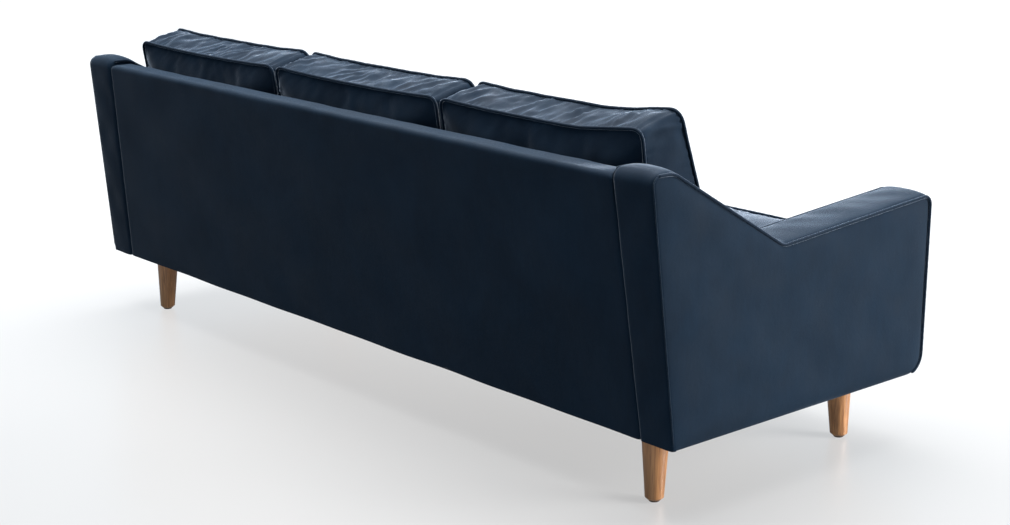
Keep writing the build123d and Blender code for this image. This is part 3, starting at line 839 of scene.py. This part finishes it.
def front_border():
    """The border's side profile carried along X between the arms, slightly full in the middle."""
    profile = rounded(
        [
            (border_low[1], BASE),
            (border_low[1], DECK),
            (border_low[1] + LIP_DEPTH, DECK),
        ],
        (0.02,),
        70,
    )
    normal = side_normals(profile)
    x = np.linspace(-1, 1, 220)[None, :] * (HALF_SEAT + 0.002)
    y, z = profile[:, :1] + 0 * x, profile[:, 1:] + 0 * x
    face = np.exp(-((((z - (BASE + DECK) / 2)) / 0.06) ** 2))
    out = 0.003 * face - 0.0025 + 0.0008 * ripple(41, [x + 0 * y, z], [(0.1, 0.4), (0.1, 0.3)])
    points = np.stack([x + 0 * y, y + normal[:, :1] * out, z + normal[:, 1:] * out], -1)
    faces = grid_faces(*points.shape[:2])
    nodes = ["front_border_pad"]
    border = piece("front_border", points, faces, COVER_VELVET, SOFA, nodes, (0, -1, 0.3))


def seat_deck():
    """Lining cloth over the springs: a level grid that dips a little between them."""
    x = np.linspace(-1, 1, 160)[None, :] * (HALF_SEAT + 0.002)
    y = np.linspace(border_low[1] + LIP_DEPTH - 0.004, inside_y(DECK) + 0.004, 70)[:, None]
    dips = -0.0012 + 0.001 * np.cos(2 * np.pi * x / 0.24) + 0 * y
    points = np.stack([x + 0 * y, y + 0 * x, DECK - 0.0012 + dips], -1)
    faces = grid_faces(*points.shape[:2])
    deck = piece("seat_deck", points, faces, LINING, SOFA, ["seat_deck_pad"], (0, 0, 1))


front_border()
seat_deck()

# %% [markdown]
# ## Underside
# A thin dark cloth closes the frame from below. It is stretched and stapled to the front and back rails.

# %% Dust cloth under the frame, with staples
CLOTH_THICKNESS = 0.0006
cloth_low = np.array([-(HALF_WIDTH - 0.006), ARM_FOOT + 0.048])
cloth_high = np.array([HALF_WIDTH - 0.006, REAR_FOOT - 0.002])


def dust_cloth():
    """A level sheet just above the covers' lower edges, which sags slightly between the rails."""
    x = np.linspace(cloth_low[0], cloth_high[0], 180)[None, :]
    y = np.linspace(cloth_low[1], cloth_high[1], 70)[:, None]
    across = (y - cloth_low[1]) / (cloth_high[1] - cloth_low[1])
    uneven = 1 + 0.4 * ripple(51, [x + 0 * y, y + 0 * x], [(0.1, 0.4)] * 2)
    sag = 0.0012 * np.sin(np.pi * across) * uneven
    points = np.stack([x + 0 * y, y + 0 * x, BASE + 0.0022 - sag], -1)
    faces = grid_faces(*points.shape[:2])
    sheet = piece(
        "dust_cloth", points, faces, DUST_CLOTH, SOFA, ["dust_cover"], (0, 0, -1)
    )
    thicken = sheet.modifiers.new("cloth", "SOLIDIFY")
    thicken.thickness = CLOTH_THICKNESS


def staples():
    """Wire staples every 70 mm along the cloth's long edges: small bars with turned-down ends."""
    crown_half, drop, wire = 0.005, 0.0016, 0.0005
    arch = np.array([(-crown_half, drop), (-crown_half, 0), (crown_half, 0), (crown_half, drop)])
    x = np.arange(cloth_low[0] + 0.03, cloth_high[0] - 0.02, 0.07)
    for label, y in (("front", cloth_low[1] + 0.012), ("rear", cloth_high[1] - 0.012)):
        ring = wire * np.array([(-1, -1), (1, -1), (1, 1), (-1, 1)])
        bar = np.zeros((len(x), 4, 4, 3))
        bar[..., 0] = x[:, None, None] + arch[None, :, None, 0]
        bar[..., 1] = y + ring[None, None, :, 0]
        bar[..., 2] = BASE + 0.0002 + arch[None, :, None, 1] + ring[None, None, :, 1]
        faces = np.concatenate([grid_faces(4, 4, wrap_columns=True, first=16 * k) for k in range(len(x))])
        piece(f"staples_{label}", bar, faces, STEEL, SOFA)


dust_cloth()
staples()

# %% [markdown]
# ## Loose cushions
# Each cushion is two velvet panels joined by a boxing strip, with piping in both seams, stuffed a little
# slack. It starts as a closed box of even quads, shaped to its CAD solid but slightly smaller. Cloth
# simulation blows it up so that the panels dome. Only part of that movement is kept, because the seams
# sag and shrink when left alone. A cushion pressed against its neighbour or the deck is flat there, so
# points are held near the CAD solid's own space: a back cushion may stand up to 30 mm above it and
# 12 mm in front of it, and a seat cushion only 12 mm in front.

# %% A closed box of quads with its seams marked
CUSHION_STEP = 0.0115
SHY = 0.003    # how much smaller than its solid a cushion starts, on each side
CORNER_RADIUS = 0.024
SEAM_FREEDOM = 0.3     # share of its simulated movement that a corded seam keeps
MOST_MOVEMENT = 0.026  # no point moves further than this from where it starts


class CushionGrid:
    """Points and faces of a boxed cushion, in its own width, height and thickness.

    Two equal grids are the rear and front panels. The ring of points round each is its seam, and rows of
    points join the two rings as the boxing. rest holds every point's width, height and thickness.
    """

    def __init__(self, width, height, thickness, rear_freedom):
        self.size = (width, height, thickness)
        self.rear_freedom = rear_freedom
        wide = int(round(width / CUSHION_STEP)) + 1
        high = int(round(height / CUSHION_STEP)) + 1
        deep = max(6, int(round(thickness / CUSHION_STEP)))
        across = np.linspace(-width / 2, width / 2, wide)
        up = np.linspace(0, height, high)
        column, row = np.meshgrid(across, up)
        flat = np.stack([column, row], -1).reshape(-1, 2)
        number = np.arange(wide * high).reshape(high, wide)
        ring = np.concatenate(
            [number[0, :-1], number[:-1, -1], number[-1, :0:-1], number[:0:-1, 0]]
        )
        panel = len(flat)
        levels = thickness * np.arange(1, deep) / deep
        boxing = np.concatenate([np.column_stack([flat[ring], np.full(len(ring), t)]) for t in levels])
        rear = np.column_stack([flat, np.zeros(panel)])
        front = np.column_stack([flat, np.full(panel, thickness)])
        self.rest = np.concatenate([rear, front, boxing])
        between = 2 * panel + np.arange((deep - 1) * len(ring)).reshape(deep - 1, -1)
        rows = np.concatenate([ring[None], between, ring[None] + panel])
        strip = grid_faces(deep + 1, len(ring), wrap_columns=True)
        self.faces = np.concatenate(
            [grid_faces(high, wide), grid_faces(high, wide, first=panel)[:, ::-1], rows.ravel()[strip]]
        )
        self.seams = (ring, ring + panel)
        self.count = len(self.rest)

    def freedom(self):
        """The share of its simulated movement that each point keeps.

        It is 0.3 on a corded seam. Away from one it rises to 1 on the front panel, to 0.3 plus the rear
        freedom on the rear panel, and to 0.65 in the middle of the boxing.
        """
        width, height, thickness = self.size
        x, v, t = self.rest.T
        panel = (t <= 0) | (t >= thickness)
        to_side = np.minimum(width / 2 - np.abs(x), np.minimum(v, height - v))
        on_panel = SEAM_FREEDOM + np.where(t <= 0, self.rear_freedom, 0.7) * (1 - np.exp(-to_side / 0.05))
        on_boxing = SEAM_FREEDOM + 0.35 * np.sin(np.pi * np.clip(t / thickness, 0, 1))
        return np.where(panel, on_panel, on_boxing)

    def rounded_rest(self, radius):
        """rest with the corners of its outline rounded: squares at the corners become quarter discs."""
        width, height, _ = self.size
        shaped = self.rest.copy()
        off = np.abs(shaped[:, 0]) - (width / 2 - radius)
        above = np.abs(shaped[:, 1] - height / 2) - (height / 2 - radius)
        corner = (off > 0) & (above > 0)
        a, b = off[corner] / radius, above[corner] / radius
        move_x = radius * (a * np.sqrt(1 - b**2 / 2) - a)
        move_y = radius * (b * np.sqrt(1 - a**2 / 2) - b)
        shaped[corner, 0] += np.sign(shaped[corner, 0]) * move_x
        shaped[corner, 1] += np.sign(shaped[corner, 1] - height / 2) * move_y
        return shaped


# %% [markdown]
# ### Stuffing
# The pressure stands for the filling.

# %% Blowing a cushion up
STUFFING_FRAMES = 16


def inflate(cushion, seams, pressure, gather):
    """Run the cloth simulation on a closed mesh, and give back its points.

    Air presses outward with no gravity. The seams shrink by the gather share and the rest grows by a
    little, as velvet does when it is eased on to piping.
    """
    group = cushion.vertex_groups.new(name="seams")
    group.add([int(k) for k in seams], 1.0, "REPLACE")
    cloth = cushion.modifiers.new("stuffing", "CLOTH")
    setting = cloth.settings
    setting.quality = 5
    setting.mass = 0.3
    setting.tension_stiffness = 30
    setting.compression_stiffness = 30
    setting.shear_stiffness = 12
    setting.bending_stiffness = 0.35
    setting.air_damping = 2.0
    setting.use_pressure = True
    setting.uniform_pressure_force = pressure
    setting.effector_weights.gravity = 0
    setting.vertex_group_shrink = "seams"
    setting.shrink_min = -0.02
    setting.shrink_max = gather
    cloth.collision_settings.use_collision = False
    scene = bpy.context.scene
    cloth.point_cache.frame_end = STUFFING_FRAMES
    for step in range(1, STUFFING_FRAMES + 1):
        scene.frame_set(step)
    shape = cushion.evaluated_get(bpy.context.evaluated_depsgraph_get()).to_mesh()
    points = np.empty(len(shape.vertices) * 3)
    shape.vertices.foreach_get("co", points)
    cushion.modifiers.remove(cloth)
    scene.frame_set(1)
    return points.reshape(-1, 3)


# %% [markdown]
# ## Creases
# Velvet that is eased on to piping shows short creases that start at the seam and die out within a few
# centimetres, and longer slanting ones right across the boxing where the filling is slack. They are
# folded noise, not simulated: the absolute value of smooth waves has sharp valleys, which read as
# creases. They are measured in the cushion's own width, height and thickness, so they follow the cloth.

# %% Creased cloth, from rest coordinates
def creases(rest, size, seed, boxing_depth, seam_depth):
    """How far each point is pushed out, in metres, by folds across the boxing and puckers at the seams."""
    width, height, thickness = size
    t = rest[:, 2]
    run = rest[:, 0] + rest[:, 1]
    panel = (t < 0.002) | (t > thickness - 0.002)
    to_side = np.minimum(width / 2 - np.abs(rest[:, 0]), np.minimum(rest[:, 1], height - rest[:, 1]))
    to_seam = np.where(panel, to_side, np.minimum(t, thickness - t))
    share = np.clip(t / thickness, 0, 1)
    folds = 1 - 1.6 * np.abs(ripple(seed, [run + 0.3 * t, t], [(0.045, 0.13), (0.15, 0.6)], 6))
    counter = 1 - 1.6 * np.abs(ripple(seed + 1, [run - 0.5 * t, t], [(0.06, 0.18), (0.15, 0.6)], 6))
    puckers = np.abs(ripple(seed + 2, [run, t], [(0.018, 0.05), (0.2, 0.8)], 10)) - 0.6
    middle = np.where(panel, 0, 4 * share * (1 - share))
    patchy = 0.5 + 0.5 * np.tanh(1.5 * ripple(seed + 3, [run], [(0.12, 0.4)], 5))
    near_seam = np.exp(-to_seam / 0.022) * (1 - np.exp(-to_seam / 0.004))
    broad = ripple(seed + 4, [rest[:, 0], rest[:, 1]], [(0.12, 0.4), (0.12, 0.4)], 8)
    past_join = width / 2 - 0.016 - np.abs(rest[:, 0])
    join = np.where(~panel & (rest[:, 1] > height - 0.03), np.exp(-((past_join / 0.005) ** 2)), 0)
    on_panel = np.where(panel, np.clip(to_side / 0.06, 0, 1), 0)
    return (
        boxing_depth * middle * patchy * (folds + 0.7 * counter)
        + seam_depth * near_seam * puckers
        - 0.0030 * join
        + 0.0022 * on_panel * broad
    )


# %% [markdown]
# ### Finishing
# A blown cushion is held in its space, made finer, creased, and given piping round both seams.

# %% Finishing a cushion: settle, subdivide, crease, and pipe its seams
def settle(points, low, high, softness):
    """Hold points inside a box, easing into its walls over a short distance."""
    middle, half = (low + high) / 2, (high - low) / 2
    off = points - middle
    beyond = np.abs(off) - (half - softness)
    eased = half - softness + softness * (1 - np.exp(-np.clip(beyond, 0, None) / softness))
    return middle + np.where(beyond > 0, np.sign(off) * eased, off)


def finish_cushion(cushion, grid, seed, low, high, boxing_depth, seam_depth):
    """One level of subdivision, then creases along the normals, then held in its space again."""
    mesh = cushion.data
    attribute = mesh.attributes.new("rest", "FLOAT_VECTOR", "POINT")
    attribute.data.foreach_set("vector", grid.rest.ravel())
    smooth = cushion.modifiers.new("smooth", "SUBSURF")
    smooth.levels = 1
    smooth.render_levels = 1
    evaluated = cushion.evaluated_get(bpy.context.evaluated_depsgraph_get())
    finer = bpy.data.meshes.new_from_object(evaluated)
    cushion.modifiers.remove(smooth)
    cushion.data = finer
    total = len(finer.vertices)
    points, normals, rest = np.empty(3 * total), np.empty(3 * total), np.empty(3 * total)
    finer.vertices.foreach_get("co", points)
    finer.vertices.foreach_get("normal", normals)
    finer.attributes["rest"].data.foreach_get("vector", rest)
    push = creases(rest.reshape(-1, 3), grid.size, seed, boxing_depth, seam_depth)
    points = points.reshape(-1, 3) + normals.reshape(-1, 3) * push[:, None]
    points = settle(points, low, high, 0.004)
    finer.vertices.foreach_set("co", points.ravel())
    finer.attributes.remove(finer.attributes["rest"])
    finer.update()
    return points


def pipe_seam(name, loop, centre, body, seed):
    """A closed tube round one seam, standing out from the cushion's middle."""
    loop = evenly(np.concatenate([loop, loop[:1]]), 2 * len(loop) + 1)[:-1]
    outward = loop - centre
    outward /= np.linalg.norm(outward, axis=1, keepdims=True)
    points, faces = tube(loop + outward * 0.0012, outward, PIPING_RADIUS, sides=9, closed=True, seed=seed)
    return piece(name, points, faces, PIPING_VELVET, body)


def cushion(kind, place, section, pressure, gather, seed, lift=None, boxing_depth=0.004):
    """A whole cushion: section is its rear foot, rear top, front foot and front top in Y and Z."""
    node = f"{kind}_cushion_cover_{place}"
    body = f"{kind}_cushion_{place}"
    low, high = low_high(node)
    rear_foot, rear_top, front_foot, front_top = (np.array(corner) for corner in section)
    middle = (rear_foot + rear_top + front_foot + front_top) / 4
    shrink = 1 - 2 * SHY / np.linalg.norm(front_top - rear_top)
    rear_foot, rear_top, front_foot, front_top = (
        middle + (corner - middle) * shrink for corner in (rear_foot, rear_top, front_foot, front_top)
    )
    width = high[0] - low[0] - 2 * SHY
    height = 0.5 * (np.linalg.norm(rear_top - rear_foot) + np.linalg.norm(front_top - front_foot))
    thickness = 0.5 * (np.linalg.norm(front_top - rear_top) + np.linalg.norm(front_foot - rear_foot))
    grid = CushionGrid(width, height, thickness, 0.15 if kind == "back" else 0.7)
    shaped = grid.rounded_rest(CORNER_RADIUS)
    v = (shaped[:, 1] / height)[:, None]
    t = (shaped[:, 2] / thickness)[:, None]
    rear = rear_foot + (rear_top - rear_foot) * v
    front = front_foot + (front_top - front_foot) * v
    side_view = rear + (front - rear) * t
    start = np.column_stack([shaped[:, 0] + (low[0] + high[0]) / 2, side_view])
    nodes = [node, node.replace("cover", "core")]
    made = piece(body + "_cover", start, grid.faces, CUSHION_VELVET, body, nodes)
    points = inflate(made, np.concatenate(grid.seams), pressure, gather)
    seam_start = start[np.concatenate(grid.seams)]
    seam_blown = points[np.concatenate(grid.seams)]
    regain = np.ptp(seam_start, axis=0) / np.ptp(seam_blown, axis=0)
    offset = (seam_start.max(0) + seam_start.min(0)) / 2
    points = offset + (points - (seam_blown.max(0) + seam_blown.min(0)) / 2) * regain
    moved = (points - start) * grid.freedom()[:, None]
    far = np.linalg.norm(moved, axis=1, keepdims=True)
    points = start + moved * np.minimum(1, MOST_MOVEMENT / np.maximum(far, 1e-9))
    if lift is not None:
        points = points + lift(points)
    slack = np.array([0.0, 0.012, 0.010])
    rise = np.array([0.0, 0.012, 0.030])
    space_low, space_high = low - slack, high + rise
    space_low[2] = low[2]
    if kind == "back":
        points[:, 1] = np.minimum(points[:, 1], inside_y(np.maximum(points[:, 2], BASE)) - 0.002)
    else:
        space_high[2] = high[2] + 0.0004
        space_high[1] = high[1]
    points = settle(points, space_low, space_high, 0.012)
    made.data.vertices.foreach_set("co", points.ravel())
    made.data.update()
    centre = points.mean(0)
    for label, ring in zip(("rear", "front") if kind == "back" else ("lower", "upper"), grid.seams):
        pipe_seam(f"{body}_piping_{label}", points[ring], centre, body, seed + ring[0])
    finish_cushion(made, grid, seed, space_low, space_high, boxing_depth, 0.0030)
    print(body, "has", len(made.data.polygons), "faces")


# %% [markdown]
# ### Back cushions
# The three back cushions lean on the inside back and stand above its rail. Their boxing faces up and
# back, and is the most creased part of the sofa.

# %% Make the back cushions
BACK_FOOT = low_high("back_cushion_cover_centre")[0][2]
BACK_HEAD = low_high("back_cushion_cover_centre")[1][2]
BACK_SECTION = (
    (inside_y(BACK_FOOT) - 0.002, BACK_FOOT),
    (0.334, 0.751),
    (0.092, BACK_FOOT),
    (0.226, 0.778),
)


def end_lift(points):
    """The left cushion is plumper at its outer end, which stands a little higher."""
    out = np.clip((-points[:, 0] - 0.72) / 0.20, 0, 1)
    up = np.clip((points[:, 2] - BACK_FOOT) / (BACK_HEAD - BACK_FOOT), 0, 1)
    return np.column_stack([0 * out, 0 * out, 0.014 * out**2 * (3 - 2 * out) * up])


for seed, place in ((61, "left"), (71, "centre"), (81, "right")):
    cushion("back", place, BACK_SECTION, 2.6, 0.02, seed, end_lift if place == "left" else None)

# %% [markdown]
# ### Seat cushions
# The seat cushions lie flat on the deck, one panel up and one down.

# %% Make the seat cushions
seat_low, seat_high = low_high("seat_cushion_cover_centre")
SEAT_SECTION = (
    (seat_low[1], seat_low[2]),
    (seat_high[1], seat_low[2]),
    (seat_low[1], seat_high[2]),
    (seat_high[1], seat_high[2]),
)
for seed, place in ((91, "left"), (101, "centre"), (111, "right")):
    cushion("seat", place, SEAT_SECTION, 2.2, 0.03, seed, boxing_depth=0.0015)
